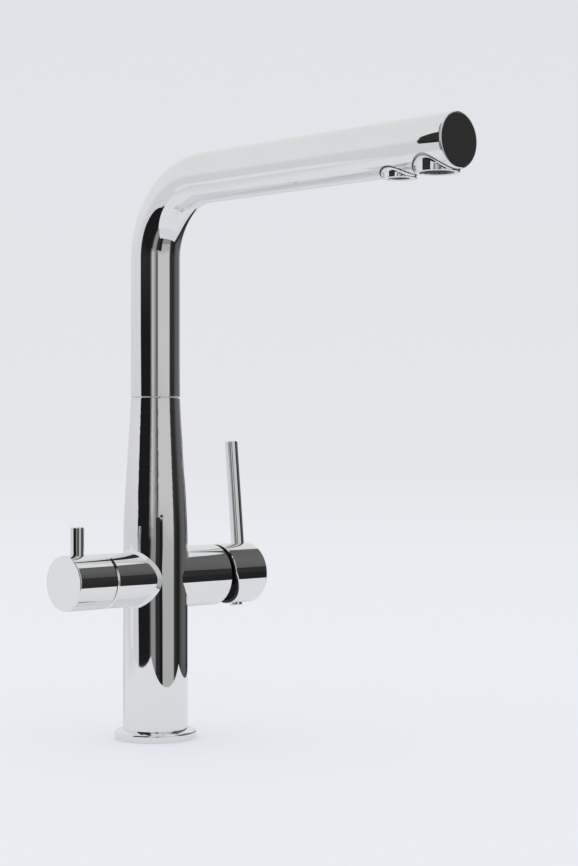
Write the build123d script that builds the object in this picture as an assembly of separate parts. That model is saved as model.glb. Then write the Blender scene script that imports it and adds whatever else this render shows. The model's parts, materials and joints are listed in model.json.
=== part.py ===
"""Three way filtered water tap: a deck-mounted kitchen tap with an L-shaped swivel spout.

The right handle mixes hot and cold water, and the left handle opens filtered water, which has its
own way through the body and the spout. Sizes are in millimetres. The origin is the centre of the
base on the deck. +X points to the mixer handle, -Y along the spout and +Z up.
"""
import os
from math import cos, radians, sin, sqrt

from build123d import *

# ---- Clearances ---------------------------------------------------------------------------------
RUNNING = 0.05  # radial, between a shaft and the hole it turns in
SEATED = 0.02  # radial, between two fixed round pieces
LOOSE = 0.3  # between moving pieces that must not touch
THREAD = 0.05  # radial, between a screw and its tapped hole
OVERCUT = 1.0  # how far a cut runs past the surface that it opens

# ---- Column and base ----------------------------------------------------------------------------
COLUMN_STEP = 0.7  # from the mixer arm's radius to the column's
NECK_RISE = 1.5  # from the top of the mixer arm up to where the neck starts
BODY_TOP_Z = 206.0
HANDLE_DROP = 109.3  # from the column's top down to the handles' axis
NECK_PULL_LOW = 26.0  # how far the straight column's tangent carries into the neck
NECK_PULL_HIGH = 25.0
NECK_SLOPE = 0.03  # radius lost per mm where the neck meets the spout
BODY_FOOT_Z = 1.2
EDGE_BREAK = 0.4  # chamfer on the edges of every joint line

RING_OVERHANG = 5.25  # of the base ring, beyond the column
RING_EDGE_H = 4.2
RING_TOP_Z = 5.9
RING_ROUND = 1.1
RING_CROWN = 0.35  # how far the ring's sloping top bulges
RING_LEDGE = 2.7  # of the base ring, under the body's foot
BASE_SEAL_INSET = 3.2  # from the ring's bore to the seal
BASE_SEAL_WIDTH = 2.6
BASE_SEAL_DEPTH = 1.6

# ---- Inlet manifold -----------------------------------------------------------------------------
MANIFOLD_R = 15.0
MANIFOLD_BOTTOM_Z = 3.3
MANIFOLD_TOP_Z = 28.0
PORT_CIRCLE_R = 8.9
PORT_R = 4.5  # tapping size of M10 x 1
PORT_DEPTH = 11.0
STUD_HOLE_R = 2.5  # tapping size of M6
STUD_HOLE_DEPTH = 16.0
WATERWAY_R = 3.0
HOT_ANGLE = -60.0
COLD_ANGLE = 60.0
FILTER_ANGLE = 180.0
PORT_SEAL_WIDTH = 1.2
PORT_SEAL_DEPTH = 1.2
SNAP_RING_THICK = 1.2
SNAP_RING_GRIP = 1.2  # how far the ring reaches into its groove
SNAP_RING_WIDTH = 2.2
SNAP_RING_GAP = 7.0

# ---- Spout --------------------------------------------------------------------------------------
SPOUT_R = 15.0
SPOUT_WALL = 1.5
SPOUT_AXIS_Z = 335.2
SPOUT_BEND_R = 45.0
SPOUT_REACH = 240.1
WASHER_THICK = 0.5
END_CAP_THICK = 1.5
END_CAP_SPIGOT = 0.9
END_CAP_ROUND = 1.2

# ---- Spigot that turns in the neck --------------------------------------------------------------
SPIGOT_SOCKET_R = 11.3
SPIGOT_WALL = 2.8
SPIGOT_LENGTH = 41.0
SPIGOT_PLUG_H = 10.0
SOCKET_SPARE = 2.5  # below the spigot's end
SLIP_RING_OFFSETS = (5.5, 36.5)  # below the spigot's shoulder, to each ring's middle
SLIP_RING_H = 4.0
SLIP_RING_THICK = 1.0
SLIP_RING_SPLIT = 1.0
O_RING_OFFSETS = (13.5, 19.5)
O_RING_WIRE_R = 0.9
KEEPER_OFFSET = 28.5
KEEPER_GROOVE_H = 5.6
KEEPER_GROOVE_DEPTH = 1.8
KEEPER_SCREW_R = 2.4
KEEPER_SCREW_SINK = 0.6
KEEPER_SOCKET_R = 1.25
KEEPER_SOCKET_DEPTH = 2.0

# ---- Filtered water's way -----------------------------------------------------------------------
SWIVEL_PIPE_R = 3.0
SWIVEL_PIPE_BORE_R = 1.3
SWIVEL_PIPE_DEPTH = 17.0  # below the spigot's socket
SWIVEL_PIPE_STAND = 5.0  # above the socket's floor, to the hose
SWIVEL_PIPE_BARB = 14.0
SWIVEL_RING_RISE = 6.0  # from the pipe's foot to its O-ring
SWIVEL_RING_WIRE_R = 0.6
HOSE_R = 3.0
HOSE_BORE_R = 2.0
HOSE_RISE = 5.8  # of the hose's run, above the spout's axis
HOSE_END_STRAIGHT = 1.6
HOSE_BARB_H = 1.4
FILTER_DRILL_R = 2.0
FILTER_RISE_R = 2.5
FILTER_CROSS_RISE = 16.0  # from the handles' axis up to the cross drilling

# ---- Outlets under the spout --------------------------------------------------------------------
MAIN_OUT_INSET = 14.7  # from the spout's end to the main outlet's axis
OUTLET_SPACING = 26.4
MAIN_BOSS_R = 12.0
MAIN_BOSS_WALL = 1.4
MAIN_RIM_STEP = -0.25  # from the boss's radius to the rim's
MAIN_RIM_STAND = 0.8  # of the rim, below the tube
FILTER_BOSS_R = 8.9
FILTER_BOSS_WALL = 1.7
FILTER_RIM_STEP = 0.25
FILTER_RIM_STAND = 1.3
RIM_THICK = 0.6
BOSS_RISE = 10.8  # of a boss's inner end, above the tube's underside
BOSS_ROOT_FILLET = 1.8
BOSS_STOCK = 6.0  # length of boss that is faced off under the spout once its root is blended
OUTLET_COLLAR_H = 1.2
OUTLET_SEAL_H = 1.4
OUTLET_SEAL_LIP = 1.0  # how far the washer reaches in over the straightener
OUTLET_RECESS = 0.9  # from the rim up to the flow straightener
STRAIGHTENER_H = 6.0
HONEYCOMB_PITCH = 2.3
HONEYCOMB_WALL = 0.45
HONEYCOMB_DEPTH = 2.4
HONEYCOMB_MARGIN = 0.6
NOZZLE_WALL = 1.5

# ---- Mixer side, along +X -----------------------------------------------------------------------
MIXER_SLEEVE_X = 46.5
MIXER_CAP_X = 50.0
MIXER_END_X = 76.4
MIXER_BEVEL = 22.5  # degrees, of the cap's lower half
MIXER_TILT = 22.0  # degrees that the lever lifts
MIXER_REST_TURN = 5.3  # degrees that the lever leans to the back at rest
MIXER_ROOT_FILLET = 1.0
HANDLE_END_ROUND = 0.7
CARTRIDGE_SEAT_X = 12.0
CARTRIDGE_R = 14.0
CARTRIDGE_PORT_R = 2.9
MIXED_PORT_RISE = 8.5
MIXED_PASSAGE_X = 7.5
CARTRIDGE_BASE_H = 5.0
DISC_H = 3.0
HOUSING_WALL = 1.8
MOVING_DISC_R = 8.8
DISC_POCKET_RISE = 2.2
DISC_POCKET_DEPTH = 1.5
CARRIER_H = 4.6
TURRET_R = 9.95
TURRET_FLANGE_H = 2.0
TURRET_TOP_X = 42.0
TILT_CUTS = 4  # steps of the lever's lift, cut one by one out of the turret
HOUSING_END_X = 36.0
PIVOT_X = 34.5
PIVOT_PIN_R = 1.5
STEM_SIDE = 7.0
STEM_BALL_R = 2.0
STEM_NECK_R = 1.2
STEM_END_X = 69.6
MIXER_MOUTH_WALL = 2.4
NUT_STEP = 2.4  # from the cartridge's radius to the nut's
NUT_BORE_R = 10.6
NUT_END_X = 45.4
NUT_NOTCH = 3.0
CAP_WALL = 2.2
CAP_FLOOR_X = 61.0
CAP_HUB_R = 7.4
CAP_HUB_X = 51.6
LEVER_R = 4.0
MIXER_LEVER_X = 69.95
MIXER_LEVER_TOP = 83.6  # from the handle's axis
LEVER_SOCKET = 12.0  # from the handle's axis to the socket's floor
LEVER_SHOULDER = 1.0  # from the lever's radius to its root's
LEVER_ROOT = 6.0  # from the handle's axis to the root's end
LEVER_CHAMFER = 0.5
GRUB_X = 65.0
GRUB_R = 2.5
GRUB_LENGTH = 7.0
PLUG_R = 4.0
PLUG_DEPTH = 2.6
PLUG_STAND = 1.7

# ---- Filter side, along -X ----------------------------------------------------------------------
FILTER_R = 16.3
FILTER_SLEEVE_X = -42.0
FILTER_GAP = 0.5
FILTER_END_X = -70.4
FILTER_ROOT_BREAK = 1.6  # chamfer round the filter arm's root
FILTER_EDGE_BREAK = 0.9
VALVE_SEAT_X = -12.0
VALVE_R = 10.2
VALVE_SEAL_H = 2.8
VALVE_SHOULDER_X = -30.0
FILTER_MOUTH_WALL = 2.7
VALVE_HEX_GAP = 1.0  # between the hexagon's corners and the arm's mouth
VALVE_HEX_END_X = -36.0
VALVE_CHAMBER_R = 7.6
VALVE_DISC_H = 2.4
VALVE_DISC_WEB = 1.6
VALVE_WINDOW = 5.0
SPINDLE_R = 4.5
SPINDLE_FLANGE_GAP = 0.4
SPINDLE_FLANGE_H = 2.2
SPINDLE_RING_X = -31.0
SPINDLE_RING_WIRE_R = 0.8
SPLINE_R = 4.0
SPLINE_TEETH = 20
SPLINE_ROOT_R = 0.28
SPLINE_START_X = -38.0
SPLINE_END_X = -55.0
HUB_WALL = 2.5
HUB_CAVITY_X = -46.0
FILTER_GRUB_X = -51.0
FILTER_GRUB_R = 2.0
FILTER_GRUB_LENGTH = 6.0
FILTER_LEVER_X = -60.2
FILTER_LEVER_TOP = 32.7  # from the handle's axis
FILTER_SOCKET = 8.0
FILTER_LEVER_ROOT = 2.0

# ---- Worked out from the sizes above ------------------------------------------------------------
ON_BASE = (Align.CENTER, Align.CENTER, Align.MIN)
MATCH = 0.01  # how near an edge must lie to the place that is asked for
HANDLE_Z = BODY_TOP_Z - HANDLE_DROP
NUT_R = CARTRIDGE_R + NUT_STEP
MIXER_R = NUT_R + MIXER_MOUTH_WALL
BODY_R = MIXER_R + COLUMN_STEP
NECK_R = SPOUT_R
NECK_START_Z = HANDLE_Z + MIXER_R + NECK_RISE
RING_R = BODY_R + RING_OVERHANG
RING_BORE_R = BODY_R - RING_LEDGE
BASE_SEAL_R_IN = RING_BORE_R + BASE_SEAL_INSET
BASE_SEAL_R_OUT = BASE_SEAL_R_IN + BASE_SEAL_WIDTH
SPOUT_BOTTOM_Z = BODY_TOP_Z + WASHER_THICK
SPOUT_INNER_R = SPOUT_R - SPOUT_WALL
TUBE_END_Y = -(SPOUT_REACH - END_CAP_THICK)
BEND_START_Z = SPOUT_AXIS_Z - SPOUT_BEND_R
SPIGOT_R = SPIGOT_SOCKET_R - LOOSE
SPIGOT_BORE_R = SPIGOT_R - SPIGOT_WALL
SOCKET_END_Z = SPOUT_BOTTOM_Z - SPIGOT_LENGTH - SOCKET_SPARE
SWIVEL_PIPE_BOTTOM_Z = SOCKET_END_Z - SWIVEL_PIPE_DEPTH
SWIVEL_PIPE_PLUG_TOP_Z = SOCKET_END_Z + SWIVEL_PIPE_STAND
SWIVEL_PIPE_TOP_Z = SWIVEL_PIPE_PLUG_TOP_Z + SWIVEL_PIPE_BARB
SWIVEL_RING_Z = SWIVEL_PIPE_BOTTOM_Z + SWIVEL_RING_RISE
FILTER_CROSS_Z = HANDLE_Z + FILTER_CROSS_RISE
MAIN_OUT_Y = -(SPOUT_REACH - MAIN_OUT_INSET)
MAIN_BORE_R = MAIN_BOSS_R - MAIN_BOSS_WALL
MAIN_RIM_R = MAIN_BOSS_R + MAIN_RIM_STEP
MAIN_RIM_Z = SPOUT_AXIS_Z - SPOUT_R - MAIN_RIM_STAND
FILTER_OUT_Y = MAIN_OUT_Y + OUTLET_SPACING
FILTER_BORE_R = FILTER_BOSS_R - FILTER_BOSS_WALL
FILTER_RIM_R = FILTER_BOSS_R + FILTER_RIM_STEP
FILTER_RIM_Z = SPOUT_AXIS_Z - SPOUT_R - FILTER_RIM_STAND
BOSS_TOP_Z = SPOUT_AXIS_Z - SPOUT_R + BOSS_RISE
HOSE_RUN_Z = SPOUT_AXIS_Z + HOSE_RISE
HOSE_END_BEND_R = HOSE_RUN_Z - BOSS_TOP_Z - HOSE_END_STRAIGHT
LEVER_ROOT_R = LEVER_R - LEVER_SHOULDER
FILTER_HUB_X = FILTER_SLEEVE_X - FILTER_GAP
KEEPER_Z = SPOUT_BOTTOM_Z - KEEPER_OFFSET
VALVE_DISC_X = VALVE_SEAT_X - VALVE_SEAL_H
SPINDLE_FLANGE_X = VALVE_DISC_X - 2 * VALVE_DISC_H
VALVE_MOUTH_R = FILTER_R - FILTER_MOUTH_WALL
VALVE_HEX_R = VALVE_MOUTH_R - VALVE_HEX_GAP
SPINDLE_FLANGE_R = VALVE_CHAMBER_R - SPINDLE_FLANGE_GAP
HUB_CAVITY_R = FILTER_R - HUB_WALL
CAP_BORE_R = MIXER_R - CAP_WALL
DISC_BORE_R = CARTRIDGE_R - HOUSING_WALL
TURRET_FLANGE_R = DISC_BORE_R - LOOSE
DISC_X = CARTRIDGE_SEAT_X + CARTRIDGE_BASE_H
MOVING_DISC_X = DISC_X + DISC_H
CARRIER_X = MOVING_DISC_X + DISC_H
TURRET_X = CARRIER_X + CARRIER_H + LOOSE
STEM_BALL_X = CARRIER_X + CARRIER_H / 2
DISC_TRAVEL = (PIVOT_X - STEM_BALL_X) * sin(radians(MIXER_TILT))


# ---- Shapes that repeat -------------------------------------------------------------------------
def rod_z(r, low, high, x=0.0, y=0.0):
    """Round bar along Z between two heights."""
    return Pos(x, y, low) * Cylinder(r, high - low, align=ON_BASE)


def rod_x(r, start, end, y=0.0, z=HANDLE_Z):
    """Round bar along X between two places."""
    return Pos(min(start, end), y, z) * Rot(Y=90) * Cylinder(r, abs(end - start), align=ON_BASE)


def rod_y(r, start, end, x=0.0, z=HANDLE_Z):
    """Round bar along Y between two places."""
    return Pos(x, max(start, end), z) * Rot(X=90) * Cylinder(r, abs(end - start), align=ON_BASE)


def pipe_z(r_out, r_in, low, high, x=0.0, y=0.0):
    """Ring or pipe along Z."""
    return rod_z(r_out, low, high, x, y) - rod_z(r_in, low, high, x, y)


def pipe_x(r_out, r_in, start, end, y=0.0, z=HANDLE_Z):
    """Ring or pipe along X."""
    return rod_x(r_out, start, end, y, z) - rod_x(r_in, start, end, y, z)


def box_between(low, high):
    """Box between two opposite corners."""
    size = [b - a for a, b in zip(low, high)]
    middle = [(a + b) / 2 for a, b in zip(low, high)]
    return Pos(*middle) * Box(*size)


def around_x(angle, shape):
    """Turn a shape about the handles' axis, positive lifting +Y towards +Z."""
    return Pos(0, 0, HANDLE_Z) * Rot(X=angle) * Pos(0, 0, -HANDLE_Z) * shape


def tilted(angle, shape):
    """Turn a shape about the mixer's pivot pin, as the lever lifts."""
    return Pos(PIVOT_X, 0, HANDLE_Z) * Rot(Y=angle) * Pos(-PIVOT_X, 0, -HANDLE_Z) * shape


def at_rest(shape):
    """Carry a mixer piece from the upright lever to the rest position."""
    return around_x(-MIXER_REST_TURN, shape)


def port_place(angle):
    """Centre of an inlet port on the manifold."""
    return PORT_CIRCLE_R * cos(radians(angle)), PORT_CIRCLE_R * sin(radians(angle))


def edges_at(shape, axis, place, radius):
    """Round edges of one radius in one plane."""
    rings = shape.edges().filter_by(GeomType.CIRCLE)
    near = [e for e in rings if abs(e.radius - radius) < MATCH]
    return [e for e in near if abs(getattr(e.arc_center, axis) - place) < MATCH]


def honeycomb(cells_r, low, y):
    """Hexagonal pockets of a flow straightener, inside a circle."""
    cell = extrude(RegularPolygon((HONEYCOMB_PITCH - HONEYCOMB_WALL) / 2, 6, major_radius=False),
                   HONEYCOMB_DEPTH)
    rows = int(cells_r / HONEYCOMB_PITCH) + 1
    pockets = Part()
    for row in range(-rows, rows + 1):
        for column in range(-rows, rows + 1):
            along = (column + row / 2) * HONEYCOMB_PITCH
            across = row * HONEYCOMB_PITCH * sqrt(3) / 2
            if sqrt(along**2 + across**2) + HONEYCOMB_PITCH / 2 < cells_r:
                pockets += Pos(across, y + along, low) * cell
    return pockets


# ---- Base and body ------------------------------------------------------------------------------
def make_base_ring():
    """Trim ring that stands on the deck and carries the body on its ledge."""
    seat_r = BODY_R + SEATED
    edge, top = (RING_R, RING_EDGE_H), (seat_r, RING_TOP_Z)
    crown = SagittaArc(edge, top, -RING_CROWN)
    rest = Polyline(top, (seat_r, BODY_FOOT_Z), (RING_BORE_R, BODY_FOOT_Z), (RING_BORE_R, 0),
                    (RING_R, 0), edge)
    ring = revolve(make_face(Plane.XZ * (crown + rest)), Axis.Z)
    ring = fillet(edges_at(ring, "Z", RING_EDGE_H, RING_R), RING_ROUND)
    return ring - pipe_z(BASE_SEAL_R_OUT, BASE_SEAL_R_IN, 0, BASE_SEAL_DEPTH)


def make_base_seal():
    """Flat rubber ring in the base ring's groove, level with the deck."""
    return pipe_z(BASE_SEAL_R_OUT - SEATED, BASE_SEAL_R_IN + SEATED, 0, BASE_SEAL_DEPTH)


def body_column():
    """Solid column with its tapering neck."""
    neck = Bezier(
        (BODY_R, NECK_START_Z),
        (BODY_R, NECK_START_Z + NECK_PULL_LOW),
        (NECK_R + NECK_SLOPE * NECK_PULL_HIGH, BODY_TOP_Z - NECK_PULL_HIGH),
        (NECK_R, BODY_TOP_Z),
    )
    straight = Polyline((0, BODY_TOP_Z), (0, BODY_FOOT_Z), (BODY_R, BODY_FOOT_Z),
                        (BODY_R, NECK_START_Z))
    top = Line((NECK_R, BODY_TOP_Z), (0, BODY_TOP_Z))
    column = revolve(make_face(Plane.XZ * (straight + neck + top)), Axis.Z)
    return chamfer(edges_at(column, "Z", BODY_TOP_Z, NECK_R), EDGE_BREAK)


def body_waterways():
    """Drilled ways from the manifold to the valve seats, and from there up to the spout."""
    ways = Part()
    for angle in (HOT_ANGLE, COLD_ANGLE):
        x, y = port_place(angle)
        height = HANDLE_Z - MIXED_PORT_RISE / 2
        ways += rod_z(WATERWAY_R, MANIFOLD_TOP_Z, height, x, y)
        ways += rod_x(CARTRIDGE_PORT_R, x, CARTRIDGE_SEAT_X, y, height)
    mixed_z = HANDLE_Z + MIXED_PORT_RISE
    ways += rod_x(CARTRIDGE_PORT_R, MIXED_PASSAGE_X, CARTRIDGE_SEAT_X, 0, mixed_z)
    ways += rod_z(CARTRIDGE_PORT_R, mixed_z, SOCKET_END_Z, MIXED_PASSAGE_X)
    filter_x, _ = port_place(FILTER_ANGLE)
    ways += rod_z(WATERWAY_R, MANIFOLD_TOP_Z, HANDLE_Z, filter_x)
    ways += rod_x(WATERWAY_R, filter_x, VALVE_SEAT_X)
    rise_x = (VALVE_DISC_X + SPINDLE_FLANGE_X) / 2
    ways += rod_z(FILTER_DRILL_R, HANDLE_Z + VALVE_CHAMBER_R, FILTER_CROSS_Z, rise_x)
    ways += rod_x(FILTER_DRILL_R, rise_x, 0, 0, FILTER_CROSS_Z)
    ways += rod_z(FILTER_RISE_R, FILTER_CROSS_Z, SWIVEL_PIPE_BOTTOM_Z)
    ways += rod_z(SWIVEL_PIPE_R + RUNNING, SWIVEL_PIPE_BOTTOM_Z - LOOSE, SOCKET_END_Z)
    return ways


def make_tap_body():
    """Body casting: column, both arms, valve seats, waterways and the spout's socket."""
    body = body_column()
    filter_arm = rod_x(FILTER_R, 0, FILTER_SLEEVE_X)
    filter_arm = chamfer(edges_at(filter_arm, "X", FILTER_SLEEVE_X, FILTER_R), FILTER_EDGE_BREAK)
    mixer_arm = rod_x(MIXER_R, 0, MIXER_SLEEVE_X)
    mixer_arm = chamfer(edges_at(mixer_arm, "X", MIXER_SLEEVE_X, MIXER_R), EDGE_BREAK)
    joined = body + filter_arm
    body = chamfer(new_edges(body, filter_arm, combined=joined), FILTER_ROOT_BREAK)
    joined = body + mixer_arm
    body = fillet(new_edges(body, mixer_arm, combined=joined), MIXER_ROOT_FILLET)

    body -= rod_z(MANIFOLD_R, BODY_FOOT_Z, MANIFOLD_TOP_Z)
    body -= rod_z(MANIFOLD_R + SNAP_RING_GRIP, MANIFOLD_BOTTOM_Z - SNAP_RING_THICK, MANIFOLD_BOTTOM_Z)
    body -= rod_z(SPIGOT_SOCKET_R, SOCKET_END_Z, BODY_TOP_Z)
    body -= rod_y(KEEPER_SCREW_R + THREAD, 0, BODY_R, 0, KEEPER_Z)
    body -= rod_x(CARTRIDGE_R + SEATED, CARTRIDGE_SEAT_X, MIXER_SLEEVE_X)
    body -= rod_x(NUT_R, HOUSING_END_X, MIXER_SLEEVE_X)
    body -= rod_x(VALVE_R, VALVE_SEAT_X, FILTER_SLEEVE_X)
    body -= rod_x(VALVE_MOUTH_R, VALVE_SHOULDER_X, FILTER_SLEEVE_X)
    return body - body_waterways()


def make_inlet_manifold():
    """Round brass block in the foot: three inlet ports and the fixing stud's hole."""
    block = rod_z(MANIFOLD_R - SEATED, MANIFOLD_BOTTOM_Z, MANIFOLD_TOP_Z)
    block = chamfer(edges_at(block, "Z", MANIFOLD_BOTTOM_Z, MANIFOLD_R - SEATED), EDGE_BREAK)
    block -= rod_z(STUD_HOLE_R, MANIFOLD_BOTTOM_Z, MANIFOLD_BOTTOM_Z + STUD_HOLE_DEPTH)
    for angle in (HOT_ANGLE, COLD_ANGLE, FILTER_ANGLE):
        x, y = port_place(angle)
        block -= rod_z(PORT_R, MANIFOLD_BOTTOM_Z, MANIFOLD_BOTTOM_Z + PORT_DEPTH, x, y)
        block -= rod_z(WATERWAY_R, MANIFOLD_BOTTOM_Z, MANIFOLD_TOP_Z, x, y)
        block -= rod_z(WATERWAY_R + PORT_SEAL_WIDTH, MANIFOLD_TOP_Z - PORT_SEAL_DEPTH,
                       MANIFOLD_TOP_Z, x, y)
    return block


def make_manifold_seals():
    """Three rubber rings between the manifold's ports and the body."""
    seals = []
    for angle in (HOT_ANGLE, COLD_ANGLE, FILTER_ANGLE):
        x, y = port_place(angle)
        seals.append(pipe_z(WATERWAY_R + PORT_SEAL_WIDTH - SEATED, WATERWAY_R,
                            MANIFOLD_TOP_Z - PORT_SEAL_DEPTH, MANIFOLD_TOP_Z, x, y))
    return seals


def make_manifold_snap_ring():
    """Open spring ring that holds the manifold up in the body."""
    r_out = MANIFOLD_R + SNAP_RING_GRIP - SEATED
    ring = pipe_z(r_out, r_out - SNAP_RING_WIDTH, MANIFOLD_BOTTOM_Z - SNAP_RING_THICK,
                  MANIFOLD_BOTTOM_Z)
    half_gap = SNAP_RING_GAP / 2
    return ring - box_between((-half_gap, 0, 0),
                              (half_gap, r_out + OVERCUT, MANIFOLD_BOTTOM_Z + OVERCUT))


# ---- Spout --------------------------------------------------------------------------------------
def spout_bar(r):
    """Solid bar of one radius along the spout's bent centre line."""
    path = FilletPolyline((0, 0, SPOUT_BOTTOM_Z), (0, 0, SPOUT_AXIS_Z), (0, TUBE_END_Y, SPOUT_AXIS_Z),
                          radius=SPOUT_BEND_R)
    return sweep(Pos(0, 0, SPOUT_BOTTOM_Z) * Circle(r), path)


def make_spout_tube():
    """Bent tube with both outlet bosses brazed in and polished over."""
    skin = spout_bar(SPOUT_R)
    for y, boss_r, rim_z in ((MAIN_OUT_Y, MAIN_BOSS_R, MAIN_RIM_Z),
                             (FILTER_OUT_Y, FILTER_BOSS_R, FILTER_RIM_Z)):
        face_z = rim_z + RIM_THICK
        boss = rod_z(boss_r, face_z - BOSS_STOCK, SPOUT_AXIS_Z, 0, y)
        joined = skin + boss
        skin = fillet(new_edges(skin, boss, combined=joined), BOSS_ROOT_FILLET)
        skin -= rod_z(boss_r + 2 * BOSS_ROOT_FILLET, face_z - BOSS_STOCK - OVERCUT, face_z, 0, y)
    tube = skin - spout_bar(SPOUT_INNER_R)
    for y, boss_r, bore_r, rim_z in ((MAIN_OUT_Y, MAIN_BOSS_R, MAIN_BORE_R, MAIN_RIM_Z),
                                     (FILTER_OUT_Y, FILTER_BOSS_R, FILTER_BORE_R, FILTER_RIM_Z)):
        tube += rod_z(boss_r, SPOUT_AXIS_Z - SPOUT_INNER_R, BOSS_TOP_Z, 0, y)
        tube -= rod_z(bore_r, rim_z, BOSS_TOP_Z - OUTLET_COLLAR_H, 0, y)
        tube -= rod_z(bore_r - NOZZLE_WALL, rim_z, BOSS_TOP_Z, 0, y)
    return chamfer(edges_at(tube, "Z", SPOUT_BOTTOM_Z, SPOUT_R), EDGE_BREAK)


def make_spout_end_cap():
    """Polished disc with a round edge that closes the spout."""
    cap = rod_y(SPOUT_R, TUBE_END_Y, -SPOUT_REACH, 0, SPOUT_AXIS_Z)
    cap = fillet(edges_at(cap, "Y", -SPOUT_REACH, SPOUT_R), END_CAP_ROUND)
    return cap + rod_y(SPOUT_INNER_R - SEATED, TUBE_END_Y, TUBE_END_Y + END_CAP_SPIGOT, 0,
                       SPOUT_AXIS_Z)


def make_spout_spigot():
    """Brass spigot brazed in the tube's foot; it turns in the neck on slip rings."""
    low = SPOUT_BOTTOM_Z - SPIGOT_LENGTH
    spigot = rod_z(SPIGOT_R, low, SPOUT_BOTTOM_Z)
    spigot += rod_z(SPOUT_INNER_R - SEATED, SPOUT_BOTTOM_Z, SPOUT_BOTTOM_Z + SPIGOT_PLUG_H)
    spigot -= rod_z(SPIGOT_BORE_R, low, SPOUT_BOTTOM_Z + SPIGOT_PLUG_H)
    ring_floor = SPIGOT_SOCKET_R - RUNNING - SLIP_RING_THICK
    for offset in SLIP_RING_OFFSETS:
        middle = SPOUT_BOTTOM_Z - offset
        spigot -= pipe_z(SPIGOT_R + OVERCUT, ring_floor, middle - SLIP_RING_H / 2,
                         middle + SLIP_RING_H / 2)
    for offset in O_RING_OFFSETS:
        middle = SPOUT_BOTTOM_Z - offset
        groove_r = SPIGOT_SOCKET_R - RUNNING - 2 * O_RING_WIRE_R
        spigot -= pipe_z(SPIGOT_R + OVERCUT, groove_r - SEATED, middle - O_RING_WIRE_R - SEATED,
                         middle + O_RING_WIRE_R + SEATED)
    spigot -= pipe_z(SPIGOT_R + OVERCUT, SPIGOT_R - KEEPER_GROOVE_DEPTH,
                     KEEPER_Z - KEEPER_GROOVE_H / 2, KEEPER_Z + KEEPER_GROOVE_H / 2)
    return spigot


def make_spigot_slip_rings():
    """Two split plastic rings that the spout turns on."""
    r_out = SPIGOT_SOCKET_R - RUNNING
    rings = []
    for offset in SLIP_RING_OFFSETS:
        middle = SPOUT_BOTTOM_Z - offset
        ring = pipe_z(r_out, r_out - SLIP_RING_THICK + SEATED, middle - SLIP_RING_H / 2 + SEATED,
                      middle + SLIP_RING_H / 2 - SEATED)
        half = SLIP_RING_SPLIT / 2
        rings.append(ring - box_between((-half, 0, middle - SLIP_RING_H),
                                        (half, r_out + OVERCUT, middle + SLIP_RING_H)))
    return rings


def make_spigot_o_rings():
    """Two O-rings that seal the turning spigot."""
    major_r = SPIGOT_SOCKET_R - RUNNING - O_RING_WIRE_R
    return [Pos(0, 0, SPOUT_BOTTOM_Z - offset) * Torus(major_r, O_RING_WIRE_R)
            for offset in O_RING_OFFSETS]


def make_thrust_washer():
    """Thin plastic washer between the body and the spout."""
    return pipe_z(NECK_R - 2 * EDGE_BREAK, SPIGOT_SOCKET_R, BODY_TOP_Z, SPOUT_BOTTOM_Z)


def make_spout_keeper_screw():
    """Grub screw at the back of the neck; its tip runs in the spigot's groove."""
    start = SPIGOT_R - KEEPER_GROOVE_DEPTH + LOOSE
    end = NECK_R - KEEPER_SCREW_SINK
    screw = rod_y(KEEPER_SCREW_R, start, end, 0, KEEPER_Z)
    socket = extrude(RegularPolygon(KEEPER_SOCKET_R, 6), KEEPER_SOCKET_DEPTH)
    return screw - Pos(0, end, KEEPER_Z) * Rot(X=90) * socket


def make_filter_swivel_pipe():
    """Pipe on the column's axis that carries filtered water across the swivel."""
    pipe = rod_z(SWIVEL_PIPE_R, SWIVEL_PIPE_BOTTOM_Z, SWIVEL_PIPE_PLUG_TOP_Z)
    pipe += rod_z(HOSE_BORE_R - SEATED, SWIVEL_PIPE_PLUG_TOP_Z, SWIVEL_PIPE_TOP_Z)
    pipe -= rod_z(SWIVEL_PIPE_BORE_R, SWIVEL_PIPE_BOTTOM_Z, SWIVEL_PIPE_TOP_Z)
    groove_r = SWIVEL_PIPE_R - 2 * SWIVEL_RING_WIRE_R
    return pipe - pipe_z(SWIVEL_PIPE_R + OVERCUT, groove_r - SEATED,
                         SWIVEL_RING_Z - SWIVEL_RING_WIRE_R - SEATED,
                         SWIVEL_RING_Z + SWIVEL_RING_WIRE_R + SEATED)


def make_filter_swivel_o_ring():
    """O-ring of the filtered water's swivel."""
    return Pos(0, 0, SWIVEL_RING_Z) * Torus(SWIVEL_PIPE_R - SWIVEL_RING_WIRE_R, SWIVEL_RING_WIRE_R)


def make_filter_hose():
    """Hose inside the spout, from the swivel pipe to the filtered outlet."""
    bend_r = HOSE_RUN_Z - BEND_START_Z
    path = FilletPolyline((0, 0, SWIVEL_PIPE_PLUG_TOP_Z), (0, 0, HOSE_RUN_Z),
                          (0, FILTER_OUT_Y, HOSE_RUN_Z), (0, FILTER_OUT_Y, BOSS_TOP_Z),
                          radius=[bend_r, HOSE_END_BEND_R])
    start = Pos(0, 0, SWIVEL_PIPE_PLUG_TOP_Z)
    return sweep(start * (Circle(HOSE_R) - Circle(HOSE_BORE_R)), path)


def make_filter_hose_fitting():
    """Barbed fitting that joins the hose to the filtered outlet's boss."""
    bottom = BOSS_TOP_Z - OUTLET_COLLAR_H
    top = BOSS_TOP_Z + HOSE_BARB_H
    fitting = rod_z(FILTER_BORE_R - NOZZLE_WALL - SEATED, bottom, BOSS_TOP_Z, 0, FILTER_OUT_Y)
    fitting += rod_z(HOSE_BORE_R - SEATED, bottom, top, 0, FILTER_OUT_Y)
    return fitting - rod_z(SWIVEL_PIPE_BORE_R, bottom, top, 0, FILTER_OUT_Y)


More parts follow.
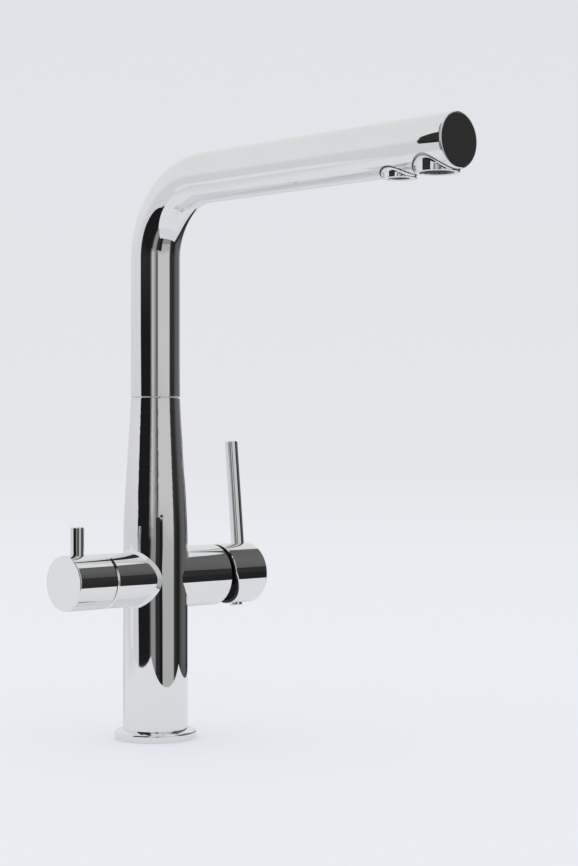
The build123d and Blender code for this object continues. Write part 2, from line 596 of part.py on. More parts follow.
# ---- Outlets ------------------------------------------------------------------------------------
def outlet_rim(y, bore_r, rim_r, rim_z):
    """Screwed outlet ring: a thin visible rim with a threaded skirt inside the boss."""
    skirt_top = BOSS_TOP_Z - OUTLET_COLLAR_H - OUTLET_SEAL_H
    rim = rod_z(rim_r, rim_z, rim_z + RIM_THICK, 0, y)
    rim = chamfer(edges_at(rim, "Z", rim_z, rim_r), EDGE_BREAK / 2)
    rim += rod_z(bore_r - THREAD, rim_z, skirt_top, 0, y)
    rim -= rod_z(bore_r - NOZZLE_WALL, rim_z, skirt_top, 0, y)
    return chamfer(edges_at(rim, "Z", rim_z, bore_r - NOZZLE_WALL), EDGE_BREAK)


def outlet_seal(y, bore_r):
    """Rubber washer above the outlet ring."""
    top = BOSS_TOP_Z - OUTLET_COLLAR_H
    return pipe_z(bore_r - SEATED, bore_r - NOZZLE_WALL - OUTLET_SEAL_LIP, top - OUTLET_SEAL_H, top,
                  0, y)


def flow_straightener(y, bore_r, rim_z):
    """Honeycomb insert that makes the water's stream even."""
    r = bore_r - NOZZLE_WALL - SEATED
    low = rim_z + OUTLET_RECESS
    insert = rod_z(r, low, low + STRAIGHTENER_H, 0, y)
    return insert - honeycomb(r - HONEYCOMB_MARGIN, low, y)


# ---- Mixer --------------------------------------------------------------------------------------
def cartridge_ports():
    """Centres of the cartridge's three ports, as (y, z)."""
    _, hot_y = port_place(HOT_ANGLE)
    low_z = HANDLE_Z - MIXED_PORT_RISE / 2
    return (hot_y, low_z), (-hot_y, low_z), (0, HANDLE_Z + MIXED_PORT_RISE)


def make_cartridge_base():
    """Bottom of the mixing cartridge, on its seat in the body."""
    base = rod_x(CARTRIDGE_R, CARTRIDGE_SEAT_X, DISC_X)
    for y, z in cartridge_ports():
        base -= rod_x(CARTRIDGE_PORT_R, CARTRIDGE_SEAT_X, DISC_X, y, z)
        base -= rod_x(CARTRIDGE_PORT_R + PORT_SEAL_WIDTH, CARTRIDGE_SEAT_X,
                      CARTRIDGE_SEAT_X + PORT_SEAL_DEPTH, y, z)
    return base


def make_cartridge_port_seals():
    """Rubber rings round the cartridge's three ports."""
    return [pipe_x(CARTRIDGE_PORT_R + PORT_SEAL_WIDTH - SEATED, CARTRIDGE_PORT_R, CARTRIDGE_SEAT_X,
                   CARTRIDGE_SEAT_X + PORT_SEAL_DEPTH, y, z) for y, z in cartridge_ports()]


def make_cartridge_fixed_disc():
    """Fixed ceramic disc with the three ports."""
    disc = rod_x(DISC_BORE_R - SEATED, DISC_X, MOVING_DISC_X)
    for y, z in cartridge_ports():
        disc -= rod_x(CARTRIDGE_PORT_R, DISC_X, MOVING_DISC_X, y, z)
    return disc


def make_cartridge_housing():
    """Plastic cup of the cartridge: it holds the discs and guides the turret."""
    shoulder_x = TURRET_X + TURRET_FLANGE_H + LOOSE
    cup = rod_x(CARTRIDGE_R, DISC_X, HOUSING_END_X)
    cup -= rod_x(DISC_BORE_R, DISC_X, shoulder_x)
    return cup - rod_x(TURRET_R + RUNNING, shoulder_x, HOUSING_END_X)


def make_cartridge_moving_disc():
    """Moving ceramic disc; a pocket in its face joins the ports as it slides."""
    lowered = Pos(0, 0, -DISC_TRAVEL / 2)
    disc = rod_x(MOVING_DISC_R, MOVING_DISC_X, CARRIER_X)
    pocket = rod_x(CARTRIDGE_PORT_R, MOVING_DISC_X, MOVING_DISC_X + DISC_POCKET_DEPTH, 0,
                   HANDLE_Z + DISC_POCKET_RISE)
    return at_rest(lowered * (disc - pocket))


def make_disc_carrier():
    """Plastic carrier on the moving disc, slid by the stem's ball."""
    lowered = Pos(0, 0, -DISC_TRAVEL / 2)
    carrier = lowered * rod_x(MOVING_DISC_R, CARRIER_X, CARRIER_X + CARRIER_H)
    slot_half = STEM_BALL_R + LOOSE
    slot = box_between((CARRIER_X - OVERCUT, -slot_half, HANDLE_Z - slot_half),
                       (CARRIER_X + CARRIER_H + OVERCUT, slot_half, HANDLE_Z + slot_half))
    return at_rest(carrier - slot)


def stem_bar(grow):
    """Square bar of the stem, widened by a clearance."""
    half = STEM_SIDE / 2 + grow
    return box_between((PIVOT_X - half, -half, HANDLE_Z - half), (STEM_END_X, half, HANDLE_Z + half))


def stem_tail(grow):
    """Neck and ball between the pivot and the disc carrier, widened by a clearance."""
    neck = rod_x(STEM_NECK_R + grow, STEM_BALL_X, PIVOT_X)
    return neck + Pos(STEM_BALL_X, 0, HANDLE_Z) * Sphere(STEM_BALL_R + grow)


def make_mixer_turret():
    """Plastic turret that turns in the housing and carries the stem on its pivot."""
    turret = rod_x(TURRET_R, TURRET_X, TURRET_TOP_X)
    turret += rod_x(TURRET_FLANGE_R, TURRET_X, TURRET_X + TURRET_FLANGE_H)
    for step in range(TILT_CUTS + 1):
        angle = MIXER_TILT * step / TILT_CUTS
        turret -= tilted(angle, stem_bar(LOOSE))
        turret -= tilted(angle, stem_tail(LOOSE))
    turret -= rod_y(PIVOT_PIN_R, -TURRET_R - OVERCUT, TURRET_R + OVERCUT, PIVOT_X)
    return at_rest(turret)


def make_mixer_pivot_pin():
    """Steel pin through the turret and the stem."""
    half = TURRET_R - LOOSE
    return at_rest(rod_y(PIVOT_PIN_R - SEATED, -half, half, PIVOT_X))


def make_mixer_stem():
    """Brass stem: square outside for the handle, with a ball that slides the disc."""
    stem = stem_bar(0) + stem_tail(0)
    bore = rod_y(PIVOT_PIN_R + RUNNING, -STEM_SIDE, STEM_SIDE, PIVOT_X)
    return at_rest(stem - bore)


def make_cartridge_nut():
    """Ring nut in the mixer arm that holds the cartridge on its seat."""
    nut = rod_x(NUT_R - THREAD, HOUSING_END_X, NUT_END_X) - rod_x(NUT_BORE_R, HOUSING_END_X, NUT_END_X)
    nut = chamfer(edges_at(nut, "X", NUT_END_X, NUT_R - THREAD), EDGE_BREAK)
    notch = box_between((NUT_END_X - NUT_NOTCH, -NUT_NOTCH / 2, HANDLE_Z + NUT_BORE_R - OVERCUT),
                        (NUT_END_X + OVERCUT, NUT_NOTCH / 2, HANDLE_Z + NUT_R + OVERCUT))
    for quarter in range(4):
        nut -= around_x(45 + 90 * quarter, notch)
    return nut


def mixer_bevel():
    """What the bevel takes off the cap: a wedge below the handle's axis."""
    depth = 2 * MIXER_R
    lean = depth * sin(radians(MIXER_BEVEL)) / cos(radians(MIXER_BEVEL))
    outline = Polyline(
        (MIXER_CAP_X - OVERCUT, HANDLE_Z), (MIXER_CAP_X, HANDLE_Z),
        (MIXER_CAP_X + lean, HANDLE_Z - depth), (MIXER_CAP_X - OVERCUT, HANDLE_Z - depth), close=True,
    )
    return extrude(make_face(Plane.XZ * outline), depth, both=True)


def make_mixer_cap():
    """Round handle cap, bevelled below so that it can tilt away from the arm."""
    cap = rod_x(MIXER_R, MIXER_CAP_X, MIXER_END_X)
    cap = fillet(edges_at(cap, "X", MIXER_END_X, MIXER_R), HANDLE_END_ROUND)
    cap -= mixer_bevel()
    rim = cap.edges().filter_by(lambda e: e.center().X < CAP_FLOOR_X)
    cap = chamfer([e for e in rim if e.geom_type != GeomType.LINE], EDGE_BREAK)
    cap -= pipe_x(CAP_BORE_R, CAP_HUB_R, MIXER_CAP_X - OVERCUT, CAP_FLOOR_X)
    cap -= rod_x(CAP_HUB_R + OVERCUT, MIXER_CAP_X - OVERCUT, CAP_HUB_X)
    half = STEM_SIDE / 2 + SEATED
    cap -= box_between((CAP_HUB_X - OVERCUT, -half, HANDLE_Z - half),
                       (STEM_END_X, half, HANDLE_Z + half))
    cap -= rod_z(LEVER_R + SEATED, HANDLE_Z + LEVER_SOCKET, HANDLE_Z + MIXER_R + OVERCUT,
                 MIXER_LEVER_X)
    cap -= rod_z(LEVER_ROOT_R + THREAD, HANDLE_Z + LEVER_ROOT, HANDLE_Z + MIXER_R, MIXER_LEVER_X)
    cap -= rod_z(GRUB_R + THREAD, HANDLE_Z - MIXER_R - OVERCUT, HANDLE_Z, GRUB_X)
    cap -= rod_z(PLUG_R + SEATED, HANDLE_Z - MIXER_R - OVERCUT, HANDLE_Z - MIXER_R + PLUG_DEPTH,
                 GRUB_X)
    return at_rest(cap)


def lever_pin(x, root, socket, top):
    """Round lever with a threaded root, given by distances from the handle's axis."""
    pin = rod_z(LEVER_R, HANDLE_Z + socket, HANDLE_Z + top, x)
    pin = chamfer(edges_at(pin, "Z", HANDLE_Z + top, LEVER_R), LEVER_CHAMFER)
    return pin + rod_z(LEVER_ROOT_R, HANDLE_Z + root, HANDLE_Z + socket, x)


def make_mixer_lever():
    """Long lever of the mixer handle."""
    return at_rest(lever_pin(MIXER_LEVER_X, LEVER_ROOT, LEVER_SOCKET, MIXER_LEVER_TOP))


def grub_screw(r, length, x, top):
    """Grub screw that points up at a stem, with its hexagon socket below."""
    screw = rod_z(r, HANDLE_Z + top - length, HANDLE_Z + top, x)
    socket = Pos(x, 0, HANDLE_Z + top - length) * extrude(RegularPolygon(r / 2, 6), length / 3)
    return screw - socket


def make_mixer_grub_screw():
    """Screw that clamps the handle cap to the stem."""
    return at_rest(grub_screw(GRUB_R, GRUB_LENGTH, GRUB_X, -STEM_SIDE / 2))


def make_mixer_index_plug():
    """Small domed plug that covers the grub screw's hole."""
    low = HANDLE_Z - MIXER_R - PLUG_STAND
    plug = rod_z(PLUG_R, low, HANDLE_Z - MIXER_R + PLUG_DEPTH - SEATED, GRUB_X)
    return at_rest(fillet(edges_at(plug, "Z", low, PLUG_R), PLUG_STAND / 2))


# ---- Filtered water valve -----------------------------------------------------------------------
def half_moon_ports(start, end):
    """Two quarter openings through a valve disc."""
    opening = pipe_x(VALVE_CHAMBER_R - VALVE_DISC_WEB, VALVE_DISC_WEB, start, end)
    quarter = box_between((min(start, end) - OVERCUT, 0, HANDLE_Z),
                          (max(start, end) + OVERCUT, VALVE_CHAMBER_R, HANDLE_Z + VALVE_CHAMBER_R))
    return around_x(45, opening & quarter) + around_x(225, opening & quarter)


def make_filter_seat_seal():
    """Rubber ring between the valve and its seat in the body."""
    return pipe_x(VALVE_CHAMBER_R, WATERWAY_R, VALVE_SEAT_X, VALVE_DISC_X)


def make_filter_fixed_disc():
    """Fixed ceramic disc of the filtered water valve."""
    disc_end = VALVE_DISC_X - VALVE_DISC_H
    disc = rod_x(VALVE_CHAMBER_R - SEATED, VALVE_DISC_X, disc_end)
    return disc - half_moon_ports(VALVE_DISC_X, disc_end)


def make_filter_moving_disc():
    """Turning ceramic disc of the filtered water valve, shut at rest."""
    start = VALVE_DISC_X - VALVE_DISC_H
    disc = rod_x(VALVE_CHAMBER_R - RUNNING, start, SPINDLE_FLANGE_X)
    return disc - around_x(90, half_moon_ports(start, SPINDLE_FLANGE_X))


def make_filter_valve_body():
    """Brass headwork screwed into the filter arm."""
    body = rod_x(VALVE_R - THREAD, VALVE_DISC_X, VALVE_SHOULDER_X)
    hexagon = extrude(RegularPolygon(VALVE_HEX_R, 6), VALVE_SHOULDER_X - VALVE_HEX_END_X)
    body += Pos(VALVE_HEX_END_X, 0, HANDLE_Z) * Rot(Y=90) * hexagon
    floor_x = SPINDLE_FLANGE_X - SPINDLE_FLANGE_H
    body -= rod_x(VALVE_CHAMBER_R, VALVE_DISC_X, floor_x)
    body -= rod_x(SPINDLE_R + RUNNING, floor_x, VALVE_HEX_END_X)
    half = VALVE_WINDOW / 2
    window = box_between((SPINDLE_FLANGE_X, -half, HANDLE_Z - VALVE_R - OVERCUT),
                         (VALVE_DISC_X - VALVE_DISC_H, half, HANDLE_Z + VALVE_R + OVERCUT))
    return body - window


def make_filter_spindle():
    """Spindle that turns the moving disc; its outer end is splined."""
    floor_x = SPINDLE_FLANGE_X - SPINDLE_FLANGE_H
    spindle = rod_x(SPINDLE_FLANGE_R, SPINDLE_FLANGE_X, floor_x)
    spindle += rod_x(SPINDLE_R, floor_x, SPLINE_START_X)
    spindle += rod_x(SPLINE_R, SPLINE_START_X, SPLINE_END_X)
    groove_r = SPINDLE_R - 2 * SPINDLE_RING_WIRE_R
    half = SPINDLE_RING_WIRE_R + SEATED
    spindle -= pipe_x(SPINDLE_R + OVERCUT, groove_r - SEATED, SPINDLE_RING_X - half,
                      SPINDLE_RING_X + half)
    tooth_gap = rod_x(SPLINE_ROOT_R, SPLINE_START_X, SPLINE_END_X, SPLINE_R)
    for number in range(SPLINE_TEETH):
        spindle -= around_x(360 * number / SPLINE_TEETH, tooth_gap)
    return spindle


def make_filter_spindle_o_ring():
    """O-ring of the spindle."""
    return Pos(SPINDLE_RING_X, 0, HANDLE_Z) * Rot(Y=90) * Torus(SPINDLE_R - SPINDLE_RING_WIRE_R,
                                                               SPINDLE_RING_WIRE_R)


def make_filter_handle():
    """Round handle hub of the filtered water valve."""
    hub = rod_x(FILTER_R, FILTER_HUB_X, FILTER_END_X)
    hub = fillet(edges_at(hub, "X", FILTER_END_X, FILTER_R), HANDLE_END_ROUND)
    hub = chamfer(edges_at(hub, "X", FILTER_HUB_X, FILTER_R), FILTER_EDGE_BREAK)
    hub -= rod_x(HUB_CAVITY_R, FILTER_HUB_X, HUB_CAVITY_X)
    hub -= rod_x(SPLINE_R + SEATED, HUB_CAVITY_X, SPLINE_END_X)
    hub -= rod_z(LEVER_R + SEATED, HANDLE_Z + FILTER_SOCKET, HANDLE_Z + FILTER_R + OVERCUT,
                 FILTER_LEVER_X)
    hub -= rod_z(LEVER_ROOT_R + THREAD, HANDLE_Z + FILTER_LEVER_ROOT, HANDLE_Z + FILTER_R,
                 FILTER_LEVER_X)
    hub -= rod_z(FILTER_GRUB_R + THREAD, HANDLE_Z - FILTER_R - OVERCUT, HANDLE_Z, FILTER_GRUB_X)
    return hub


def make_filter_lever():
    """Short lever of the filtered water handle."""
    return lever_pin(FILTER_LEVER_X, FILTER_LEVER_ROOT, FILTER_SOCKET, FILTER_LEVER_TOP)


def make_filter_grub_screw():
    """Screw that clamps the hub to the spindle."""
    return grub_screw(FILTER_GRUB_R, FILTER_GRUB_LENGTH, FILTER_GRUB_X, -SPLINE_R)


PIECES = {
    "base_ring": make_base_ring(),
    "base_seal": make_base_seal(),
    "tap_body": make_tap_body(),
    "inlet_manifold": make_inlet_manifold(),
    "manifold_seals": make_manifold_seals(),
    "manifold_snap_ring": make_manifold_snap_ring(),
    "thrust_washer": make_thrust_washer(),
    "spout_keeper_screw": make_spout_keeper_screw(),
    "spout_tube": make_spout_tube(),
    "spout_end_cap": make_spout_end_cap(),
    "spout_spigot": make_spout_spigot(),
    "spigot_slip_rings": make_spigot_slip_rings(),
    "spigot_o_rings": make_spigot_o_rings(),
    "filter_swivel_pipe": make_filter_swivel_pipe(),
    "filter_swivel_o_ring": make_filter_swivel_o_ring(),
    "filter_hose": make_filter_hose(),
    "filter_hose_fitting": make_filter_hose_fitting(),
    "main_outlet_rim": outlet_rim(MAIN_OUT_Y, MAIN_BORE_R, MAIN_RIM_R, MAIN_RIM_Z),
    "main_outlet_seal": outlet_seal(MAIN_OUT_Y, MAIN_BORE_R),
    "main_flow_straightener": flow_straightener(MAIN_OUT_Y, MAIN_BORE_R, MAIN_RIM_Z),
    "filter_outlet_rim": outlet_rim(FILTER_OUT_Y, FILTER_BORE_R, FILTER_RIM_R, FILTER_RIM_Z),
    "filter_outlet_seal": outlet_seal(FILTER_OUT_Y, FILTER_BORE_R),
    "filter_flow_straightener": flow_straightener(FILTER_OUT_Y, FILTER_BORE_R, FILTER_RIM_Z),
    "cartridge_base": make_cartridge_base(),
    "cartridge_port_seals": make_cartridge_port_seals(),
    "cartridge_fixed_disc": make_cartridge_fixed_disc(),
    "cartridge_housing": make_cartridge_housing(),
    "cartridge_moving_disc": make_cartridge_moving_disc(),
    "cartridge_disc_carrier": make_disc_carrier(),
    "cartridge_nut": make_cartridge_nut(),
    "mixer_turret": make_mixer_turret(),
    "mixer_pivot_pin": make_mixer_pivot_pin(),
    "mixer_stem": make_mixer_stem(),
    "mixer_cap": make_mixer_cap(),
    "mixer_lever": make_mixer_lever(),
    "mixer_grub_screw": make_mixer_grub_screw(),
    "mixer_index_plug": make_mixer_index_plug(),
    "filter_valve_body": make_filter_valve_body(),
    "filter_seat_seal": make_filter_seat_seal(),
    "filter_fixed_disc": make_filter_fixed_disc(),
    "filter_moving_disc": make_filter_moving_disc(),
    "filter_spindle": make_filter_spindle(),
    "filter_spindle_o_ring": make_filter_spindle_o_ring(),
    "filter_handle": make_filter_handle(),
    "filter_lever": make_filter_lever(),
    "filter_grub_screw": make_filter_grub_screw(),
}

os.makedirs("parts", exist_ok=True)
for name, shape in PIECES.items():
    solids = shape if isinstance(shape, list) else [shape]
    export_step(Compound(children=solids) if len(solids) > 1 else solids[0], f"parts/{name}.step")
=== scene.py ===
"""Three way filtered water tap: finishes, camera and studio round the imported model.

Everything is in metres in the part's own frame: +X to the mixer handle, -Y along the spout, +Z up.
"""
import json
import math

import bpy
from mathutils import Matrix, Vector


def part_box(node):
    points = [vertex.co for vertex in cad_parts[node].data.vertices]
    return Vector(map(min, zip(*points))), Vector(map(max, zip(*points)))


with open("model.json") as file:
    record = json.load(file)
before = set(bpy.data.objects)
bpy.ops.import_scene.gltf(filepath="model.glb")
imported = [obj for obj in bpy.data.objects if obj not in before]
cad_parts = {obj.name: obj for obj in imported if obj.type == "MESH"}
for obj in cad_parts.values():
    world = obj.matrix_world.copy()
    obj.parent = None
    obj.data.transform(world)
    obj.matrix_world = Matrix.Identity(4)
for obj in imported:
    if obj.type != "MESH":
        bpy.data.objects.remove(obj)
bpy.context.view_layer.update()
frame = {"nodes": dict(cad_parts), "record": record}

scene = bpy.context.scene
scene.view_settings.view_transform = "Standard"

# ---- Camera, fitted to the outlines in the photo ------------------------------------------------
CAMERA_AT = Vector((-0.7486, -0.8706, 0.1759))
LOOK = Vector((0.7039, 0.7103, 0.0)).normalized()
SENSOR_WIDTH = 36.0  # millimetres, as the lens is
LENS = 78.39
SHIFT_Y = 0.01682
CLIP_START = 0.05
CLIP_END = 100.0

camera_data = bpy.data.cameras.new("camera")
camera_data.sensor_width = SENSOR_WIDTH
camera_data.lens = LENS
camera_data.shift_y = SHIFT_Y
camera_data.clip_start = CLIP_START
camera_data.clip_end = CLIP_END
camera = bpy.data.objects.new("camera", camera_data)
camera.location = CAMERA_AT
camera.rotation_mode = "QUATERNION"
camera.rotation_quaternion = LOOK.to_track_quat("-Z", "Y")
scene.collection.objects.link(camera)
scene.camera = camera


# ---- Finishes -----------------------------------------------------------------------------------
NOISE_LOW = 0.3  # noise below this is all one tone
NOISE_HIGH = 0.7  # and above this all the other
PATCH_DETAIL = 3.0
RELIEF_DETAIL = 5.0
RELIEF_STEP = 4  # how many times finer the relief is than the patches of colour


def tree_of(material):
    material.use_nodes = True
    tree = material.node_tree
    shader = next(n for n in tree.nodes if n.type == "BSDF_PRINCIPLED")
    return tree, shader


def place(tree, scale):
    """Coordinates on the piece itself, in metres times scale."""
    where = tree.nodes.new("ShaderNodeTexCoord")
    mapping = tree.nodes.new("ShaderNodeMapping")
    mapping.inputs["Scale"].default_value = scale
    tree.links.new(where.outputs["Object"], mapping.inputs["Vector"])
    return mapping.outputs["Vector"]


def noise(tree, vector, detail):
    node = tree.nodes.new("ShaderNodeTexNoise")
    node.inputs["Scale"].default_value = 1.0
    node.inputs["Detail"].default_value = detail
    tree.links.new(vector, node.inputs["Vector"])
    return node.outputs["Fac"]


def calc(tree, operation, first, second=0.0):
    """A sum on numbers or sockets."""
    node = tree.nodes.new("ShaderNodeMath")
    node.operation = operation
    for value, socket in zip((first, second), node.inputs):
        if isinstance(value, (int, float)):
            socket.default_value = value
        else:
            tree.links.new(value, socket)
    return node.outputs[0]


def spread(tree, value, low, high, start=NOISE_LOW, end=NOISE_HIGH):
    """From low at start to high at end."""
    node = tree.nodes.new("ShaderNodeMapRange")
    node.inputs["From Min"].default_value = start
    node.inputs["From Max"].default_value = end
    node.inputs["To Min"].default_value = low
    node.inputs["To Max"].default_value = high
    tree.links.new(value, node.inputs["Value"])
    return node.outputs["Result"]


def ramp(tree, value, stops, reach=1.0):
    """Colours along a value, at the given stops."""
    node = tree.nodes.new("ShaderNodeValToRGB")
    elements = node.color_ramp.elements
    while len(elements) < len(stops):
        elements.new(1.0)
    for element, (at, colour) in zip(elements, stops):
        element.position = at / reach
        element.color = (*colour, 1)
    tree.links.new(value, node.inputs["Fac"])
    return node.outputs["Color"]


def finish(name, dark, light, metallic, rough, grain, bump, stretch=(1, 1, 1)):
    """A finish whose colour, gloss and relief all vary: grain is the patches' size in metres, bump
    the relief's height in metres, and stretch makes the patches shorter along an axis."""
    material = bpy.data.materials.new(name)
    tree, shader = tree_of(material)
    patches = noise(tree, place(tree, [s / grain for s in stretch]), PATCH_DETAIL)
    shader.inputs["Metallic"].default_value = metallic
    tones = ramp(tree, patches, [(NOISE_LOW, dark), (NOISE_HIGH, light)])
    tree.links.new(tones, shader.inputs["Base Color"])
    tree.links.new(spread(tree, patches, *rough), shader.inputs["Roughness"])
    fine = noise(tree, place(tree, [s * RELIEF_STEP / grain for s in stretch]), RELIEF_DETAIL)
    relief = tree.nodes.new("ShaderNodeBump")
    relief.inputs["Distance"].default_value = bump
    tree.links.new(fine, relief.inputs["Height"])
    tree.links.new(relief.outputs["Normal"], shader.inputs["Normal"])
    return material


def chrome(name):
    return finish(name, (0.86, 0.87, 0.875), (0.875, 0.88, 0.885), 1.0, (0.012, 0.035), 0.03,
                  0.000001)


# Two tones, metallic, roughness from and to, grain, relief.
FINISHES = {
    "chrome": chrome("polished_chrome"),
    "brass": finish("machined_brass", (0.70, 0.53, 0.24), (0.82, 0.65, 0.33),
                    1.0, (0.2, 0.34), 0.004, 0.00002, stretch=(1, 1, 6)),
    "steel": finish("brushed_steel", (0.50, 0.50, 0.50), (0.64, 0.64, 0.63),
                    1.0, (0.22, 0.36), 0.003, 0.00001, stretch=(1, 1, 8)),
    "rubber": finish("black_rubber", (0.012, 0.012, 0.012), (0.035, 0.035, 0.034),
                     0.0, (0.6, 0.85), 0.002, 0.00003),
    "dark_plastic": finish("dark_plastic", (0.035, 0.035, 0.038), (0.07, 0.07, 0.075),
                           0.0, (0.35, 0.55), 0.002, 0.00002),
    "white_plastic": finish("white_plastic", (0.74, 0.74, 0.71), (0.84, 0.84, 0.82),
                            0.0, (0.35, 0.5), 0.004, 0.00001),
    "ceramic": finish("lapped_ceramic", (0.84, 0.82, 0.77), (0.91, 0.90, 0.86),
                      0.0, (0.08, 0.2), 0.002, 0.000004),
    "hose": finish("water_hose", (0.70, 0.73, 0.76), (0.82, 0.84, 0.86),
                   0.0, (0.25, 0.4), 0.006, 0.00001),
}

for part in frame["record"]["subparts"]:
    node = frame["nodes"][part["node"]]
    node.data.materials.clear()
    node.data.materials.append(FINISHES[part["material_slot"]])

# ---- Painted shade inside the mixer cap and round the outlets' boss roots -----------------------
FLAT_FACE = 0.85  # how squarely a face of the mixer cap must look back at the arm
CAP_BORE_R = 0.0168  # metres, just over the cap's inner radius
CAP_DEPTH = 0.0112  # metres, from the cap's mouth to its floor
CAP_PAINTED_SHADE = 1  # the painted shade's place among the cap's materials
CREASE_SHADE_OFFSET = 0.0013  # metres, from a boss's side to the middle of the painted shade line round its root
CREASE_SHADE_HALF = 0.0006  # metres, from the middle of the painted shade line to its edge
CREASE_SHADE_TOP = 0.0125  # metres, from the rim up to where the painted shade line ends
# painted shade: the colour of the dark line painted into the crease round each boss root
CREASE_SHADE_COLOUR = (0.10, 0.10, 0.105, 1)

mixer_axis_z = next(j for j in frame["record"]["behaviour"]["joints"]
                    if j["name"] == "mixer_temperature")["pos_m"][2]


def darken_mixer_cap():
    """Painted shade: the cap's mouth, bevel and inside are coloured near black to stand for the
    shade in the gap; its outside is chrome.
    """
    cap = frame["nodes"]["mixer_cap"]
    # painted shade: a near-black finish standing for the shade inside the cap's gap
    painted_shade = finish("painted_shade_cap", (0.010, 0.010, 0.011), (0.022, 0.022, 0.023),
                     0.3, (0.45, 0.7), 0.002, 0.00002)
    cap.data.materials.append(painted_shade)
    mouth_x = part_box("mixer_cap")[0][0]
    for face in cap.data.polygons:
        x, y, z = face.center
        inside = math.hypot(y, z - mixer_axis_z) < CAP_BORE_R and x < mouth_x + CAP_DEPTH
        if inside or face.normal.x < -FLAT_FACE:
            face.material_index = CAP_PAINTED_SHADE


def crease_shade_mask(tree, rim_name):
    """1 where painted shade goes, on the crease round the root of an outlet's boss; 0 elsewhere."""
    low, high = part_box(rim_name)
    where = tree.nodes.new("ShaderNodeTexCoord")
    parts = tree.nodes.new("ShaderNodeSeparateXYZ")
    tree.links.new(where.outputs["Object"], parts.inputs[0])
    x, y, z = parts.outputs
    along = calc(tree, "SUBTRACT", y, (low[1] + high[1]) / 2)
    squares = calc(tree, "ADD", calc(tree, "MULTIPLY", x, x), calc(tree, "MULTIPLY", along, along))
    radius = calc(tree, "SQRT", squares)
    middle = (high[0] - low[0]) / 2 + CREASE_SHADE_OFFSET
    off = calc(tree, "ABSOLUTE", calc(tree, "SUBTRACT", radius, middle))
    line = spread(tree, off, 1.0, 0.0, CREASE_SHADE_HALF / 2, CREASE_SHADE_HALF)
    below = spread(tree, z, 1.0, 0.0, low[2] + CREASE_SHADE_TOP / 2, low[2] + CREASE_SHADE_TOP)
    return calc(tree, "MULTIPLY", line, below)


def crease_shaded_chrome():
    """Polished chrome with a painted dark line of shade along the creases at the roots of both
    outlets' bosses.
    """
    material = chrome("polished_chrome_spout_crease_shade")
    tree, shader = tree_of(material)
    tones = shader.inputs["Base Color"].links[0].from_socket
    # painted shade along the creases round both bosses
    crease_shades = calc(tree, "MAXIMUM", crease_shade_mask(tree, "main_outlet_rim"),
                 crease_shade_mask(tree, "filter_outlet_rim"))
    mix = tree.nodes.new("ShaderNodeMix")
    mix.data_type = "RGBA"
    plain, dark = (socket for socket in mix.inputs if socket.type == "RGBA")
    colour = next(socket for socket in mix.outputs if socket.type == "RGBA")
    dark.default_value = CREASE_SHADE_COLOUR
    tree.links.new(crease_shades, mix.inputs["Factor"])
    tree.links.new(tones, plain)
    tree.links.new(colour, shader.inputs["Base Color"])
    return material


darken_mixer_cap()
frame["nodes"]["spout_tube"].data.materials[0] = crease_shaded_chrome()

# ---- Studio -------------------------------------------------------------------------------------
TO_CAMERA = Vector((-LOOK.x, -LOOK.y, 0))
TO_RIGHT = Vector((LOOK.y, -LOOK.x, 0))
EYE_Z = CAMERA_AT.z

# What the camera sees above the horizon, and what metal sees there: sine of the elevation, colour.
BACKDROP = [(0.0, (0.78, 0.79, 0.82)), (0.24, (0.75, 0.77, 0.81))]
SKY = [(0.0, (0.68, 0.69, 0.71)), (0.17, (0.78, 0.79, 0.80)), (1.0, (0.76, 0.77, 0.78))]
# The floor's colour: metres from the tap, colour.
FLOOR_REACH = 12.0
FLOOR = [(0.0, (0.83, 0.86, 0.91)), (3.6, (0.80, 0.82, 0.85)), (FLOOR_REACH, (0.78, 0.79, 0.82))]
FLOOR_GLOW = 0.5  # the part of the floor's brightness that a shadow doesn't take away
FLOOR_HALF = 40  # metres, from the tap to each side of the floor
FLOOR_Z = -0.0003  # just under the base ring


def mixed(tree, fac, first, second):
    """One shader where fac is 0, the other where it is 1."""
    node = tree.nodes.new("ShaderNodeMixShader")
    if isinstance(fac, float):
        node.inputs["Fac"].default_value = fac
    else:
        tree.links.new(fac, node.inputs["Fac"])
    tree.links.new(first, node.inputs[1])
    tree.links.new(second, node.inputs[2])
    return node.outputs[0]


def make_world():
    """White light on matt surfaces; the camera and metal see the pale backdrop."""
    world = bpy.data.worlds.new("studio")
    scene.world = world
    world.use_nodes = True
    tree = world.node_tree
    tree.nodes.clear()
    where = tree.nodes.new("ShaderNodeTexCoord")
    parts = tree.nodes.new("ShaderNodeSeparateXYZ")
    tree.links.new(where.outputs["Generated"], parts.inputs[0])
    path = tree.nodes.new("ShaderNodeLightPath")
    shaders = []
    for stops in (None, BACKDROP, SKY, SKY):
        background = tree.nodes.new("ShaderNodeBackground")
        background.inputs["Color"].default_value = (1, 1, 1, 1)
        if stops:
            tree.links.new(ramp(tree, parts.outputs["Z"], stops), background.inputs["Color"])
        shaders.append(background.outputs[0])
    seen = shaders[0]
    for kind, shader in zip(("Is Camera Ray", "Is Glossy Ray", "Is Transmission Ray"), shaders[1:]):
        seen = mixed(tree, path.outputs[kind], seen, shader)
    out = tree.nodes.new("ShaderNodeOutputWorld")
    tree.links.new(seen, out.inputs["Surface"])


def matt_surface(tree, shader, colour):
    """A surface without gloss whose shadows are soft and light."""
    shader.inputs["Roughness"].default_value = 1.0
    shader.inputs["Specular IOR Level"].default_value = 0.0
    tree.links.new(colour, shader.inputs["Base Color"])
    glow = tree.nodes.new("ShaderNodeEmission")
    tree.links.new(colour, glow.inputs["Color"])
    both = mixed(tree, FLOOR_GLOW, shader.outputs[0], glow.outputs[0])
    out = next(n for n in tree.nodes if n.type == "OUTPUT_MATERIAL")
    tree.links.new(both, out.inputs["Surface"])


